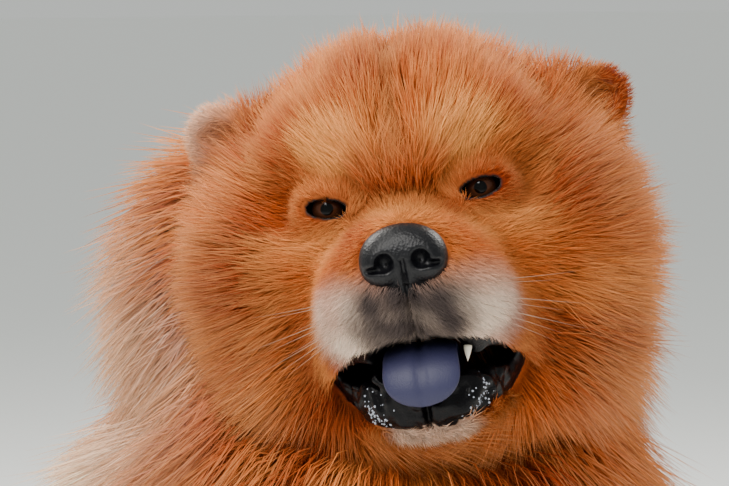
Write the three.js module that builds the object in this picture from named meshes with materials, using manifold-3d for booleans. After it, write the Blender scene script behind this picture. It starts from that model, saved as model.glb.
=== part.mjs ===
// A life-size chow chow, seated, with its head turned to its right and tipped, and its mouth a little open.
// Millimetres, +Z up. The dog's chest faces -Y, its own left side is +X, and it rests on the plane Z = 0.
// The flesh is a set of named lumps and limbs, blended into one smooth form. Each says how deep its coat stands
// and how long the hair is, so that the bodies, the coat's cores and the locks all follow the same form.
import * as THREE from "three";
import { ConvexGeometry } from "three/addons/geometries/ConvexGeometry.js";
import { LoftGeometry } from "three/addons/geometries/LoftGeometry.js";
import { mergeVertices } from "three/addons/utils/BufferGeometryUtils.js";
import Module from "manifold-3d";

const wasm = await Module();
wasm.setup();

const { Vector3, Matrix4, Euler, Quaternion, MathUtils } = THREE;
const degrees = MathUtils.degToRad;

// Driving sizes.
const GAP = 0.42; // between nodes that touch
const CORE_SHARE = 0.5; // how far up the coat its core reaches
const CORE_CLEARANCE = 1.2; // of a core's bed in another node, as a share of the gap
const LOCK_CLEARANCE = 2.4; // of a lock's bed in another node, as a share of the gap
const ROOT_SUNK = 14; // of a lock, below the core
const LOCK_REACH = 1.15; // a lock's length, as a share of the hair's
const LOCK_RISE = [0.5, 0.72, 0.98]; // of the coat, from root to tip
const LOCK_TAPER = [0.75, 1]; // of its width, at the root and halfway
const SMOOTHING = 0.03; // how far a face may move when small ones are joined
const MERGING = 0.003; // corners closer than this are one
const LEAST_COAT = 12; // that stands in locks
const BLEND = 9; // how softly lumps run into each other
const EYE_MID = new Vector3(-55, -112, 585); // halfway between the eyes
const HEAD_YAW = degrees(-34);
const HEAD_PITCH = degrees(4); // nose up
const HEAD_ROLL = degrees(8.5); // left side up
const PELVIS = new Vector3(0, 190, 118);
const TRUNK_LEAN = degrees(26); // of the spine, forward from upright
const EYE_SPREAD = 41.5;
const EYE_DEPTH = -2;
const EYE_RADIUS = 11.5;
const BARE_NEAR_EYE = 15; // the coat is close up to here, and full from the next
const FULL_FROM_EYE = 42;

// Frames: the head's runs from the eyes, the trunk's from the pelvis up the spine.
const BODY = new Matrix4();
const HEAD = new Matrix4()
  .makeRotationFromEuler(new Euler(-HEAD_PITCH, -HEAD_ROLL, HEAD_YAW, "ZXY"))
  .setPosition(EYE_MID);
const TRUNK = new Matrix4().makeRotationX(TRUNK_LEAN).setPosition(PELVIS);
const inHead = (x, y, z) => new Vector3(x, y, z).applyMatrix4(HEAD);
const MUZZLE_ROOT = inHead(0, -46, -34); // the hair of the head lies away from here
const JAW_MID = inHead(0, 0, -104);
const EYE_CENTRES = [1, -1].map((s) => inHead(s * EYE_SPREAD, EYE_DEPTH + 9, 0));

const DOWN = [0, 0.15, -1];
const DOWN_BACK = [0, 0.75, -0.65];
const FORWARD = [0, -1, -0.1];
const AWAY = null; // away from the muzzle

// An ellipsoid: centre and radii in its frame, the coat's depth, the hair's length and its lie.
function lump(frame, centre, radii, coat, hair, lie) {
  return {
    toLocal: frame.clone().invert(),
    centre: new Vector3(...centre),
    radii: new Vector3(...radii),
    coat,
    hair,
    lie: lie && new Vector3(...lie),
  };
}

// A limb: a rod between two points whose radius runs from one value to another.
function limb(frame, from, to, radii, coat, hair, lie) {
  const start = new Vector3(...from);
  return {
    toLocal: frame.clone().invert(),
    start,
    run: new Vector3(...to).sub(start),
    radii,
    coat,
    hair,
    lie: lie && new Vector3(...lie),
  };
}

const both = (make) => [1, -1].flatMap(make);

const headLumps = [
  lump(HEAD, [0, 88, 17], [68, 82, 57], 29, 42, AWAY),
  lump(HEAD, [0, 40, 30], [44, 44, 36], 24, 36, AWAY),
  ...both((s) => [
    lump(HEAD, [s * 32, 26, 27], [31, 29, 25], 13, 24, AWAY),
    lump(HEAD, [s * 50, 84, 6], [36, 50, 38], 30, 44, AWAY),
    lump(HEAD, [s * 66, 66, -34], [40, 52, 46], 34, 50, AWAY),
    lump(HEAD, [s * 46, 22, -29], [27, 27, 23], 8, 15, AWAY),
    lump(HEAD, [s * 22, -29, -57], [21, 31, 20], 4, 9, AWAY),
    lump(HEAD, [s * 47, 58, -86], [34, 42, 28], 40, 55, AWAY),
    lump(HEAD, [s * 38, 6, -74], [14, 30, 17], 6, 12, AWAY),
  ]),
  lump(HEAD, [0, -24, -42], [40, 46, 25], 4, 8, AWAY),
  lump(HEAD, [0, -22, -24], [22, 44, 14], 3, 6, AWAY),
];
const jawLumps = [
  lump(HEAD, [0, 4, -104], [37, 52, 15], 6, 10, FORWARD),
  lump(HEAD, [0, -30, -105], [27, 19, 14], 7, 12, FORWARD),
  lump(HEAD, [0, 50, -108], [44, 34, 24], 10, 20, FORWARD),
];
const neckLumps = [
  limb(BODY, [0, 6, 420], [-2, 8, 478], [104, 84], 70, 108, [0, 0.3, -1]),
  limb(BODY, [-2, 12, 478], [6, 26, 545], [68, 54], 50, 90, [0, 0.5, -0.8]),
  lump(BODY, [-10, -52, 398], [76, 54, 60], 58, 105, [0, -0.1, -1]),
  lump(BODY, [-44, 52, 515], [58, 64, 78], 40, 84, [-0.25, 0.5, -0.8]),
  lump(BODY, [66, 14, 488], [54, 60, 80], 42, 86, [0.25, 0.3, -0.9]),
];
const trunkLumps = [
  lump(TRUNK, [0, 0, 0], [100, 92, 104], 48, 78, DOWN_BACK),
  lump(TRUNK, [0, 0, 120], [90, 90, 112], 46, 78, DOWN_BACK),
  lump(TRUNK, [0, -16, 226], [110, 112, 134], 58, 88, DOWN_BACK),
  lump(TRUNK, [0, 4, 322], [110, 90, 68], 64, 100, DOWN_BACK),
  lump(BODY, [0, -58, 345], [72, 56, 86], 56, 95, [0, -0.1, -1]),
  lump(BODY, [0, 20, 205], [72, 84, 66], 34, 55, DOWN),
];
const frontLegLumps = (s) => [
  lump(BODY, [s * 78, -16, 318], [40, 52, 84], 40, 66, DOWN),
  limb(BODY, [s * 80, -8, 262], [s * 77, -42, 140], [38, 29], 17, 34, DOWN),
  limb(BODY, [s * 77, -42, 140], [s * 79, -64, 58], [29, 27], 10, 20, DOWN),
  limb(BODY, [s * 80, 12, 240], [s * 78, -24, 110], [22, 12], 26, 50, [0, 0.5, -1]),
];
const pawLumps = (s, x, y) => [
  lump(BODY, [s * x, y, 23], [31, 42, 26], 5, 10, FORWARD),
  ...[-24, -8.5, 8.5, 24].map((across) =>
    lump(
      BODY,
      [s * x + across, y - 33 + Math.abs(across) * 0.35, 15.5],
      [11.5, 18, 14.5],
      4,
      8,
      FORWARD,
    ),
  ),
];
const haunchLumps = (s) => [
  lump(BODY, [s * 102, 112, 128], [56, 92, 92], 46, 74, DOWN_BACK),
  lump(BODY, [s * 118, 48, 118], [46, 46, 66], 34, 56, DOWN),
  limb(BODY, [s * 126, 62, 86], [s * 118, 158, 48], [40, 32], 26, 48, DOWN_BACK),
  limb(BODY, [s * 118, 158, 40], [s * 130, 40, 29], [28, 24], 11, 22, FORWARD),
];
const TAIL_LINE = [
  [0, 250, 165],
  [0, 300, 215],
  [2, 310, 275],
  [6, 288, 332],
  [10, 238, 364],
];
const TAIL_RADII = [30, 27, 24, 21, 15];
const tailLumps = TAIL_LINE.slice(1).map((to, i) => {
  const run = new Vector3(...to).sub(new Vector3(...TAIL_LINE[i])).normalize();
  const radii = [TAIL_RADII[i], TAIL_RADII[i + 1]];
  return limb(BODY, TAIL_LINE[i], to, radii, 44 + i * 7, 80, run.toArray());
});

// How far a point is outside one lump or limb.
const local = new Vector3();
const scaled = new Vector3();
function distanceTo(form, p) {
  local.copy(p).applyMatrix4(form.toLocal);
  if (form.run) {
    local.sub(form.start);
    const t = MathUtils.clamp(local.dot(form.run) / form.run.lengthSq(), 0, 1);
    const radius = MathUtils.lerp(form.radii[0], form.radii[1], t);
    return local.addScaledVector(form.run, -t).length() - radius;
  }
  local.sub(form.centre);
  const reach = scaled.copy(local).divide(form.radii).length();
  const slope = scaled.divide(form.radii).length();
  return slope > 1e-6 ? (reach * (reach - 1)) / slope : -form.radii.x;
}

// The blended form at a point: its distance, and the coat and hair there. The coat is close round the eyes.
function formAt(lumps, p) {
  let sum = 0;
  let coat = 0;
  let hair = 0;
  for (const form of lumps) {
    const weight = Math.exp(-distanceTo(form, p) / BLEND);
    sum += weight;
    coat += weight * form.coat;
    hair += weight * form.hair;
  }
  const toEye = Math.min(...EYE_CENTRES.map((eye) => eye.distanceTo(p)));
  const bare = 0.1 + 0.9 * MathUtils.smoothstep(toEye, BARE_NEAR_EYE, FULL_FROM_EYE);
  return { distance: -BLEND * Math.log(sum), coat: (bare * coat) / sum, hair: (bare * hair) / sum };
}

// Which way the hair lies at a point.
function lieAt(lumps, p) {
  const lie = new Vector3();
  for (const form of lumps) {
    const weight = Math.exp(-distanceTo(form, p) / BLEND);
    lie.addScaledVector(form.lie || p.clone().sub(MUZZLE_ROOT).normalize(), weight);
  }
  return lie.normalize();
}

// The direction straight out of the form.
function outward(lumps, p) {
  const step = 0.5;
  const here = formAt(lumps, p).distance;
  return new Vector3(
    formAt(lumps, p.clone().setX(p.x + step)).distance - here,
    formAt(lumps, p.clone().setY(p.y + step)).distance - here,
    formAt(lumps, p.clone().setZ(p.z + step)).distance - here,
  ).normalize();
}

// How far a point is outside the coat's core, whose share of the coat is given.
function aboveCore(lumps, p, share) {
  const here = formAt(lumps, p);
  return here.distance - share * here.coat;
}

// A closed mesh as a solid, whichever way round its faces were wound, and back.
function solid(geometry, merging = 1e-4) {
  const bare = new THREE.BufferGeometry().copy(geometry);
  bare.deleteAttribute("normal");
  bare.deleteAttribute("uv");
  const merged = mergeVertices(bare, merging);
  const points = new Float32Array(merged.attributes.position.array);
  const corners = [...merged.index.array];
  const thin = (i) => new Set(corners.slice(i, i + 3)).size < 3;
  const faces = new Uint32Array(corners.filter((_, i) => !thin(i - (i % 3))));
  const make = () => {
    return new wasm.Manifold(new wasm.Mesh({ numProp: 3, vertProperties: points, triVerts: faces }));
  };
  const made = make();
  if (made.volume() > 0) return made;
  for (let i = 0; i < faces.length; i += 3) faces.subarray(i, i + 3).reverse();
  return make();
}

function geometryOf(made) {
  const mesh = made.getMesh();
  const geometry = new THREE.BufferGeometry();
  geometry.setAttribute("position", new THREE.BufferAttribute(mesh.vertProperties, 3));
  geometry.setIndex(new THREE.BufferAttribute(mesh.triVerts, 1));
  geometry.computeVertexNormals();
  return geometry;
}

const join = (solids) => wasm.Manifold.union(solids);

// The largest closed body of a solid, with its shortest edges closed up.
function largest(made) {
  const parts = made.simplify(SMOOTHING).decompose();
  parts.sort((a, b) => b.volume() - a.volume());
  const pieces = solid(geometryOf(parts[0]), MERGING).decompose();
  pieces.sort((a, b) => b.volume() - a.volume());
  return pieces[0];
}

// Where a ray from inside the form comes to the coat's core.
function surfaceAlong(lumps, origin, ray, share) {
  let reach = 320;
  const p = new Vector3();
  for (let step = 0; step < 60; step++) {
    p.copy(origin).addScaledVector(ray, reach);
    const above = aboveCore(lumps, p, share);
    if (above < 0.02) break;
    reach -= above * 0.8;
    if (reach < 2) break;
  }
  return p.copy(origin).addScaledVector(ray, Math.max(reach, 2));
}

// A spine inside a form: for a direction, the point on it to look from, and the direction turned to it.
function spineOf(points) {
  const line = points.map((p) => (p.isVector3 ? p : new Vector3(...p)));
  const curve = new THREE.CatmullRomCurve3(line);
  const axis = line[line.length - 1].clone().sub(line[0]).normalize();
  const turn = new Quaternion().setFromUnitVectors(new Vector3(0, 1, 0), axis);
  return (direction) => ({
    origin: curve.getPoint(MathUtils.clamp((direction.y + 1) / 2, 0, 1)),
    ray: direction.clone().applyQuaternion(turn).normalize(),
  });
}

// A ball wrapped onto the form: its rays start along a spine and stop at the coat's core.
function wrap(lumps, spine, around, along, share, grow = 0) {
  const look = spineOf(spine);
  const ball = new THREE.SphereGeometry(1, around, along);
  const points = ball.getAttribute("position");
  for (let i = 0; i < points.count; i++) {
    const { origin, ray } = look(new Vector3().fromBufferAttribute(points, i));
    points.setXYZ(i, ...surfaceAlong(lumps, origin, ray, share));
  }
  return solid(swollen(ball, CORE_CLEARANCE * grow));
}

// A closed mesh with each corner moved out by the same amount.
function swollen(geometry, amount) {
  const bare = new THREE.BufferGeometry().copy(geometry);
  bare.deleteAttribute("normal");
  bare.deleteAttribute("uv");
  const merged = mergeVertices(bare, 1e-4);
  merged.computeVertexNormals();
  const points = merged.getAttribute("position");
  const normals = merged.getAttribute("normal");
  const p = new Vector3();
  const out = new Vector3();
  for (let i = 0; i < points.count; i++) {
    out.fromBufferAttribute(normals, i);
    points.setXYZ(i, ...p.fromBufferAttribute(points, i).addScaledVector(out, amount));
  }
  return merged;
}

// A seeded source of numbers from 0 to 1.
function dice(seed) {
  let state = seed;
  return () => {
    state = (state * 1664525 + 1013904223) % 4294967296;
    return state / 4294967296;
  };
}

// One lock: it leaves the core, follows the coat's lie round the form and rises to the coat's tips.
function lock(lumps, root, length, width, thickness, turn, grow) {
  const rings = [];
  const p = root.clone();
  let out = outward(lumps, p);
  const side = new Vector3();
  const ring = (centre, side, half, height) => [
    centre.clone().addScaledVector(side, -half),
    centre.clone().addScaledVector(side, half),
    centre.clone().addScaledVector(out, height),
  ];
  const steps = LOCK_RISE.length - 1;
  for (let i = 0; i <= steps; i++) {
    const lie = lieAt(lumps, p);
    const ahead = lie.addScaledVector(out, -lie.dot(out)).normalize().applyAxisAngle(out, turn);
    side.crossVectors(out, ahead).normalize();
    if (i === 0) rings.push([p.clone().addScaledVector(out, -ROOT_SUNK)]);
    if (i === steps) break;
    rings.push(ring(p, side, (width * LOCK_TAPER[i]) / 2, thickness));
    p.addScaledVector(ahead, length / steps);
    out = outward(lumps, p);
    const here = formAt(lumps, p);
    p.addScaledVector(out, LOCK_RISE[i + 1] * here.coat - here.distance);
  }
  rings.push([p]);
  const bare = new ConvexGeometry(rings.flat());
  if (!grow) return solid(bare);
  const moved = swollen(bare, LOCK_CLEARANCE * grow).getAttribute("position");
  const outer = rings.flat();
  for (let i = 0; i < moved.count; i++) outer.push(new Vector3().fromBufferAttribute(moved, i));
  return solid(new ConvexGeometry(outer));
}

// Locks spread evenly over a core, wherever the coat is deep enough and the place is wanted.
function locks(lumps, spine, { count, width, seed, wanted = () => true }, grow) {
  const look = spineOf(spine);
  const roll = dice(seed);
  const made = [];
  for (let i = 0; i < count; i++) {
    const height = 1 - (2 * (i + 0.5)) / count;
    const angle = i * 2.39996 + (roll() - 0.5) * 0.3;
    const round = Math.sqrt(1 - height * height);
    const { origin, ray } = look(new Vector3(round * Math.cos(angle), height, round * Math.sin(angle)));
    const root = surfaceAlong(lumps, origin, ray, CORE_SHARE);
    const { coat, hair } = formAt(lumps, root);
    const size = 0.85 + 0.3 * roll();
    const turn = (roll() - 0.5) * 0.5;
    if (coat < LEAST_COAT || !wanted(root) || root.distanceTo(origin) < ROOT_SUNK) continue;
    made.push(lock(lumps, root, LOCK_REACH * hair * size, width * size, width * 0.3, turn, grow));
  }
  return made;
}

function ellipsoid(frame, centre, radii, around = 16, along = 10) {
  const ball = new THREE.SphereGeometry(1, around, along);
  ball.rotateX(Math.PI / 2);
  ball.scale(...radii);
  ball.translate(...centre);
  ball.applyMatrix4(frame);
  return solid(ball);
}

// Everything above the floor, as one big block.
const FLOOR_BLOCK = solid(
  new THREE.BoxGeometry(2000, 2000, 2000).translate(0, 0, 1000).toNonIndexed(),
);

const wholeBody = [
  ...headLumps,
  ...jawLumps,
  ...neckLumps,
  ...trunkLumps,
  ...both(frontLegLumps),
  ...both(haunchLumps),
];

// Eyes, nose and tongue.
const eye = (s, grow = 0) => {
  const radius = EYE_RADIUS + grow;
  return ellipsoid(HEAD, [s * EYE_SPREAD, EYE_DEPTH + 9, 0], [radius, radius, radius], 12, 8);
};

const noseLumps = [
  lump(HEAD, [0, -66, -26], [19, 11, 13], 0, 0, AWAY),
  ...both((s) => [lump(HEAD, [s * 11, -67, -32], [10, 11, 11], 0, 0, AWAY)]),
  lump(HEAD, [0, -63, -44], [6, 9, 9], 0, 0, AWAY),
];
const noseSpine = [inHead(0, -54, -28), inHead(0, -66, -31)];
const noseMass = (grow = 0) => wrap(noseLumps, noseSpine, 12, 8, 0, grow);
function nose() {
  const nostrils = both((s) => [
    ellipsoid(HEAD, [s * 9.5, -79, -31], [4.2, 9, 5], 6, 6),
    ellipsoid(HEAD, [s * 15, -76, -35], [4.5, 7, 2.2], 6, 4),
  ]);
  return noseMass().subtract(join(nostrils));
}

// The tongue lies on the lower jaw and laps over its lip.
const TONGUE_LINE = [
  [0, 34, -96],
  [0, 0, -88],
  [0, -28, -82],
  [0, -46, -82],
  [0, -56, -92],
  [0, -57, -103],
];
function tongue(grow = 0) {
  const curve = new THREE.CatmullRomCurve3(TONGUE_LINE.map((p) => inHead(...p)));
  const left = new Vector3(1, 0, 0).transformDirection(HEAD);
  const steps = 10;
  const sections = [];
  for (let i = 0; i <= steps; i++) {
    const t = i / steps;
    const rounding = Math.sqrt(Math.max(0.02, 1 - Math.max(0, (t - 0.72) / 0.28) ** 2));
    const width = (17 + 4.5 * t) * rounding + grow;
    const thickness = 4.2 * (0.45 + 0.55 * rounding) + grow;
    const centre = curve.getPoint(t);
    const ahead = curve.getTangent(t);
    const up = new Vector3().crossVectors(left, ahead).normalize();
    const ring = [];
    for (let k = 0; k < 12; k++) {
      const angle = (k / 12) * 2 * Math.PI;
      const groove = k === 9 ? 0.55 : 1;
      ring.push(
        centre
          .clone()
          .addScaledVector(left, Math.cos(angle) * width)
          .addScaledVector(up, -Math.sin(angle) * thickness * groove),
      );
    }
    sections.push(ring);
  }
  return solid(new LoftGeometry(sections, { capStart: true, capEnd: true }));
}

// An ear: a thick rounded leaf, hollowed on its face.
const EARS = {
  left: { side: 1, root: [89, 76, 29], lean: degrees(62), turn: degrees(18) },
  right: { side: -1, root: [-87, 76, 32], lean: degrees(-48), turn: degrees(-18) },
};
function ear({ root, lean, turn }, grow = 0) {
  const place = new Matrix4()
    .makeRotationFromEuler(new Euler(degrees(8), lean, turn, "ZYX"))
    .setPosition(new Vector3(...root))
    .premultiply(HEAD);
  const leaf = ellipsoid(place, [0, 0, 14], [21 + grow, 10 + grow, 28 + grow], 12, 8);
  if (grow) return leaf;
  return leaf.subtract(ellipsoid(place, [0, -13, 18], [13, 14, 18], 10, 6));
}

// Lids: a swelling round the eye, opened by an almond and bedded on the eyeball.
const lidMass = (s, grow = 0) =>
  ellipsoid(
    HEAD,
    [s * (EYE_SPREAD + 0.5), EYE_DEPTH + 5, -0.5],
    [17 + grow, 10.5 + grow, 12 + grow],
    16,
    10,
  );
function almond(s) {
  const shape = new THREE.Shape();
  shape.moveTo(-10.5, -1.5);
  shape.quadraticCurveTo(-1.5, 8.5, 11, 1.5);
  shape.quadraticCurveTo(1, -8.5, -10.5, -1.5);
  const bore = new THREE.ExtrudeGeometry(shape, { depth: 30, bevelEnabled: false, curveSegments: 8 });
  bore.applyMatrix4(new Matrix4().makeBasis(
    new Vector3(s, 0, 0),
    new Vector3(0, 0, 1),
    new Vector3(0, -1, 0),
  ));
  bore.translate(s * EYE_SPREAD, EYE_DEPTH + 9, 0);
  bore.applyMatrix4(HEAD);
  return solid(bore);
}

const mouthCavity = (shrink = 0) =>
  ellipsoid(HEAD, [0, 6, -88], [33 - shrink, 52 - shrink, 15 - shrink], 14, 8);

// A coated part: its core with its locks fused on, at a given growth.
function coated(lumps, spine, [around, along], spec) {
  return (grow = 0) => {
    const core = wrap(lumps, spine, around, along, CORE_SHARE, grow);
    return join([core, ...locks(lumps, spine, spec, grow)]);
  };
}

const headCore = coated(
  headLumps,
  [inHead(0, 92, -6), inHead(0, 40, -12), inHead(0, -30, -44)],
  [26, 26],
  { count: 50, width: 34, seed: 11, wanted: (p) => p.distanceTo(JAW_MID) > 70 },
);
const jawCore = coated(
  jawLumps,
  [inHead(0, 44, -106), inHead(0, -30, -105)],
  [14, 10],
  { count: 0, width: 10, seed: 1 },
);
const neckCore = coated(
  neckLumps,
  [[-4, -14, 415], [0, 10, 470], [4, 22, 535]],
  [18, 12],
  { count: 30, width: 60, seed: 21, wanted: (p) => p.z > 350 },
);
const trunkCore = coated(
  trunkLumps,
  [[0, 185, 128], [0, 110, 240], [0, 20, 370]],
  [18, 16],
  { count: 36, width: 52, seed: 31, wanted: (p) => p.z > 90 && p.z < 440 },
);
const frontLegCore = (s) =>
  coated(
    frontLegLumps(s),
    [[s * 79, -58, 74], [s * 77, -40, 150], [s * 80, -10, 260], [s * 78, -14, 350]],
    [12, 12],
    { count: 14, width: 34, seed: 41, wanted: (p) => p.z > 110 && p.z < 330 && s * p.x > 50 },
  );
const haunchCore = (s) =>
  coated(
    haunchLumps(s),
    [[s * 116, 62, 92], [s * 108, 112, 118]],
    [16, 12],
    { count: 16, width: 54, seed: 51, wanted: (p) => p.z > 70 && s * p.x > 70 },
  );
const pawCore = (s, x, y) =>
  coated(
    pawLumps(s, x, y),
    [[s * x, y + 12, 20], [s * x, y - 24, 16]],
    [16, 12],
    { count: 0, width: 10, seed: 1 },
  );
const tailCore = coated(
  tailLumps,
  TAIL_LINE,
  [12, 10],
  { count: 12, width: 52, seed: 61 },
);

const FRONT_PAW = [80, -84];
const HIND_PAW = [132, 16];

const coatColour = 0xb8662f;
const finishes = {
  coat: { color: coatColour, roughness: 0.95, metalness: 0 },
  eye: { color: 0x1a0f0a, roughness: 0.08, metalness: 0 },
  leather: { color: 0x15161c, roughness: 0.35, metalness: 0 },
  tongue: { color: 0x4b4a78, roughness: 0.4, metalness: 0 },
};

// Each body is made twice: as it is, and grown by the gap to clear a bed in all that come after it.
const dog = new THREE.Group();
let taken = FLOOR_BLOCK.translate([0, 0, -2000]);
function place(name, finish, make) {
  const body = largest(make(0).subtract(taken));
  const mesh = new THREE.Mesh(geometryOf(body), new THREE.MeshStandardMaterial(finishes[finish]));
  mesh.name = name;
  dog.add(mesh);
  taken = taken.add(make(GAP));
}

const sides = Object.entries({ left: 1, right: -1 });
for (const [name, s] of sides) place(`eye_${name}`, "eye", (grow) => eye(s, grow));
place("nose", "leather", (grow) => (grow ? noseMass(grow) : nose()));
place("tongue", "tongue", tongue);
for (const [name, shape] of Object.entries(EARS)) {
  place(`ear_${name}`, "coat", (grow) => ear(shape, grow));
}
place("head", "coat", (grow) => {
  const mass = join([headCore(grow), ...both((s) => [lidMass(s, grow)])]);
  const openings = [mouthCavity(grow), ...both((s) => [almond(s)])];
  return mass.subtract(join(openings));
});
place("jaw", "coat", (grow) => jawCore(grow).subtract(mouthCavity(grow)));
place("ruff", "coat", neckCore);
for (const [name, s] of sides) {
  place(`forepaw_${name}`, "coat", pawCore(s, ...FRONT_PAW));
  place(`foreleg_${name}`, "coat", frontLegCore(s));
  place(`hindpaw_${name}`, "coat", pawCore(s, ...HIND_PAW));
  place(`haunch_${name}`, "coat", haunchCore(s));
}
place("torso", "coat", trunkCore);
place("tail", "coat", tailCore);

// The origin is on the floor, below the middle of the whole.
const box = new THREE.Box3().setFromObject(dog);
const middle = box.getCenter(new Vector3());
dog.position.set(-middle.x, -middle.y, -box.min.z);

export default dog;
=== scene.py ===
import math

import bmesh
import bpy
import numpy as np
from mathutils import Matrix, Vector, kdtree


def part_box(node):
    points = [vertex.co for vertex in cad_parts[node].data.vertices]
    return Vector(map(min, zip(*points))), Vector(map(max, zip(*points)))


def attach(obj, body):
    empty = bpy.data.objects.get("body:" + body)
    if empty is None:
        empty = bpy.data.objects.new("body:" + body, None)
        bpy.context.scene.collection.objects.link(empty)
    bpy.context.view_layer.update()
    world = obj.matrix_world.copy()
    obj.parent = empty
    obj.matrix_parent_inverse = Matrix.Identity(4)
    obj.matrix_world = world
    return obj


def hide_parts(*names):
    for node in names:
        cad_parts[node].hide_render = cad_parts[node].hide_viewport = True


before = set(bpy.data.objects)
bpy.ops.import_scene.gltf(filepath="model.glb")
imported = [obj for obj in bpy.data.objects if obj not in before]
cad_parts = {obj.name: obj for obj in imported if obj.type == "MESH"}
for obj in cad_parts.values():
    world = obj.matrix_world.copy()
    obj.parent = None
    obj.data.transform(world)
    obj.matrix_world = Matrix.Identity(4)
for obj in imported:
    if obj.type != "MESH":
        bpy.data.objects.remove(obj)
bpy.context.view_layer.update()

# The dog's own frame is the solids' one in millimetres, before they were centred on the floor.
BLEND = 9.0
EYE_MID = np.array([-55.0, -112.0, 585.0])
HEAD_TURN = (math.radians(-34), math.radians(4), math.radians(8.5))
PELVIS = (0.0, 190.0, 118.0)
TRUNK_LEAN = math.radians(26)
EYE_SPREAD = 41.5
EYE_CENTRE_Y = 7.0
EYE_RADIUS = 11.5
COAT_STARTS_FROM_EYE = 15.0
COAT_FULL_FROM_EYE = 42.0
HAIR_STARTS_FROM_EYE = 12.0
HAIR_FULL_FROM_EYE = 34.0

# The photograph's view.
IMAGE = (729, 486)
EYES_PIXEL = (404, 198)
CAMERA_AZIMUTH = math.radians(-30)
CAMERA_ELEVATION = math.radians(5)
CAMERA_DISTANCE = 1.45
SENSOR = 36.0
MM_PER_PIXEL = 0.535

yaw, pitch, roll = HEAD_TURN
BODY = Matrix.Identity(4)
HEAD = (
    Matrix.Translation(EYE_MID)
    @ Matrix.Rotation(yaw, 4, "Z")
    @ Matrix.Rotation(-pitch, 4, "X")
    @ Matrix.Rotation(-roll, 4, "Y")
)
TRUNK = Matrix.Translation(PELVIS) @ Matrix.Rotation(TRUNK_LEAN, 4, "X")


def placed(frame_matrix, points):
    """Points of a frame, in the dog's own frame."""
    m = np.array(frame_matrix)
    return np.asarray(points, float) @ m[:3, :3].T + m[:3, 3]


def local(frame_matrix, points):
    """Points of the dog's own frame, in another."""
    m = np.array(frame_matrix.inverted())
    return np.asarray(points, float) @ m[:3, :3].T + m[:3, 3]


MUZZLE_ROOT = placed(HEAD, [0, -46, -34])
SIDES = {"left": 1, "right": -1}
EYES = {name: placed(HEAD, [s * EYE_SPREAD, EYE_CENTRE_Y, 0]) for name, s in SIDES.items()}


def cad_middle(node):
    low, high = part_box(node)
    return (np.array(low) + np.array(high)) / 2


SHIFT = sum(cad_middle(f"eye_{n}") - EYES[n] / 1000 for n in SIDES) / 2


def metres(points):
    return np.asarray(points) / 1000 + SHIFT


# Lumps and limbs of flesh, each with its coat's depth, its hair's length and its lie.
DOWN = (0, 0.15, -1)
DOWN_BACK = (0, 0.75, -0.65)
FORWARD = (0, -1, -0.1)
CHEST = (0, -0.1, -1)
THROAT = (0, -0.3, -1)
AWAY = None


def lump(frame_matrix, centre, radii, coat, hair, lie):
    return {
        "frame": frame_matrix,
        "centre": np.array(centre, float),
        "radii": np.array(radii, float),
        "run": None,
        "coat": coat,
        "hair": hair,
        "lie": lie,
    }


def limb(frame_matrix, start, end, radii, coat, hair, lie):
    made = lump(frame_matrix, start, radii, coat, hair, lie)
    made["run"] = np.array(end, float) - np.array(start, float)
    return made


def both(make):
    return [form for s in (1, -1) for form in make(s)]


HEAD_FORMS = (
    [
        lump(HEAD, (0, 88, 17), (68, 82, 57), 29, 42, AWAY),
        lump(HEAD, (0, 40, 30), (44, 44, 36), 24, 36, AWAY),
        lump(HEAD, (0, -24, -42), (40, 46, 25), 4, 8, AWAY),
        lump(HEAD, (0, -22, -24), (22, 44, 14), 3, 6, AWAY),
    ]
    + both(lambda s: [lump(HEAD, (s * 32, 26, 27), (31, 29, 25), 13, 24, AWAY)])
    + both(lambda s: [lump(HEAD, (s * 50, 84, 6), (36, 50, 38), 30, 44, AWAY)])
    + both(lambda s: [lump(HEAD, (s * 66, 66, -34), (40, 52, 46), 34, 50, AWAY)])
    + both(lambda s: [lump(HEAD, (s * 46, 22, -29), (27, 27, 23), 8, 15, AWAY)])
    + both(lambda s: [lump(HEAD, (s * 22, -29, -57), (21, 31, 20), 4, 9, AWAY)])
    + both(lambda s: [lump(HEAD, (s * 47, 58, -86), (34, 42, 28), 40, 75, AWAY)])
    + both(lambda s: [lump(HEAD, (s * 38, 6, -74), (14, 30, 17), 6, 12, AWAY)])
)
JAW_FORMS = [
    lump(HEAD, (0, 4, -104), (37, 52, 15), 6, 10, FORWARD),
    lump(HEAD, (0, -30, -105), (27, 19, 14), 7, 12, FORWARD),
    lump(HEAD, (0, 50, -108), (44, 34, 24), 10, 55, THROAT),
]
NECK_FORMS = [
    limb(BODY, (0, 6, 420), (-2, 8, 478), (104, 84), 70, 108, (0, 0.3, -1)),
    limb(BODY, (-2, 12, 478), (6, 26, 545), (68, 54), 50, 90, (0, 0.5, -0.8)),
    lump(BODY, (-10, -52, 398), (76, 54, 60), 58, 105, CHEST),
    lump(BODY, (-44, 52, 515), (58, 64, 78), 40, 84, (-0.25, 0.5, -0.8)),
    lump(BODY, (66, 14, 488), (54, 60, 80), 42, 86, (0.25, 0.3, -0.9)),
]
TRUNK_FORMS = [
    lump(TRUNK, (0, 0, 0), (100, 92, 104), 48, 78, DOWN_BACK),
    lump(TRUNK, (0, 0, 120), (90, 90, 112), 46, 78, DOWN_BACK),
    lump(TRUNK, (0, -16, 226), (110, 112, 134), 58, 88, DOWN_BACK),
    lump(TRUNK, (0, 4, 322), (110, 90, 68), 64, 100, DOWN_BACK),
    lump(BODY, (0, -58, 345), (72, 56, 86), 56, 95, CHEST),
    lump(BODY, (0, 20, 205), (72, 84, 66), 34, 55, DOWN),
]
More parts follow.
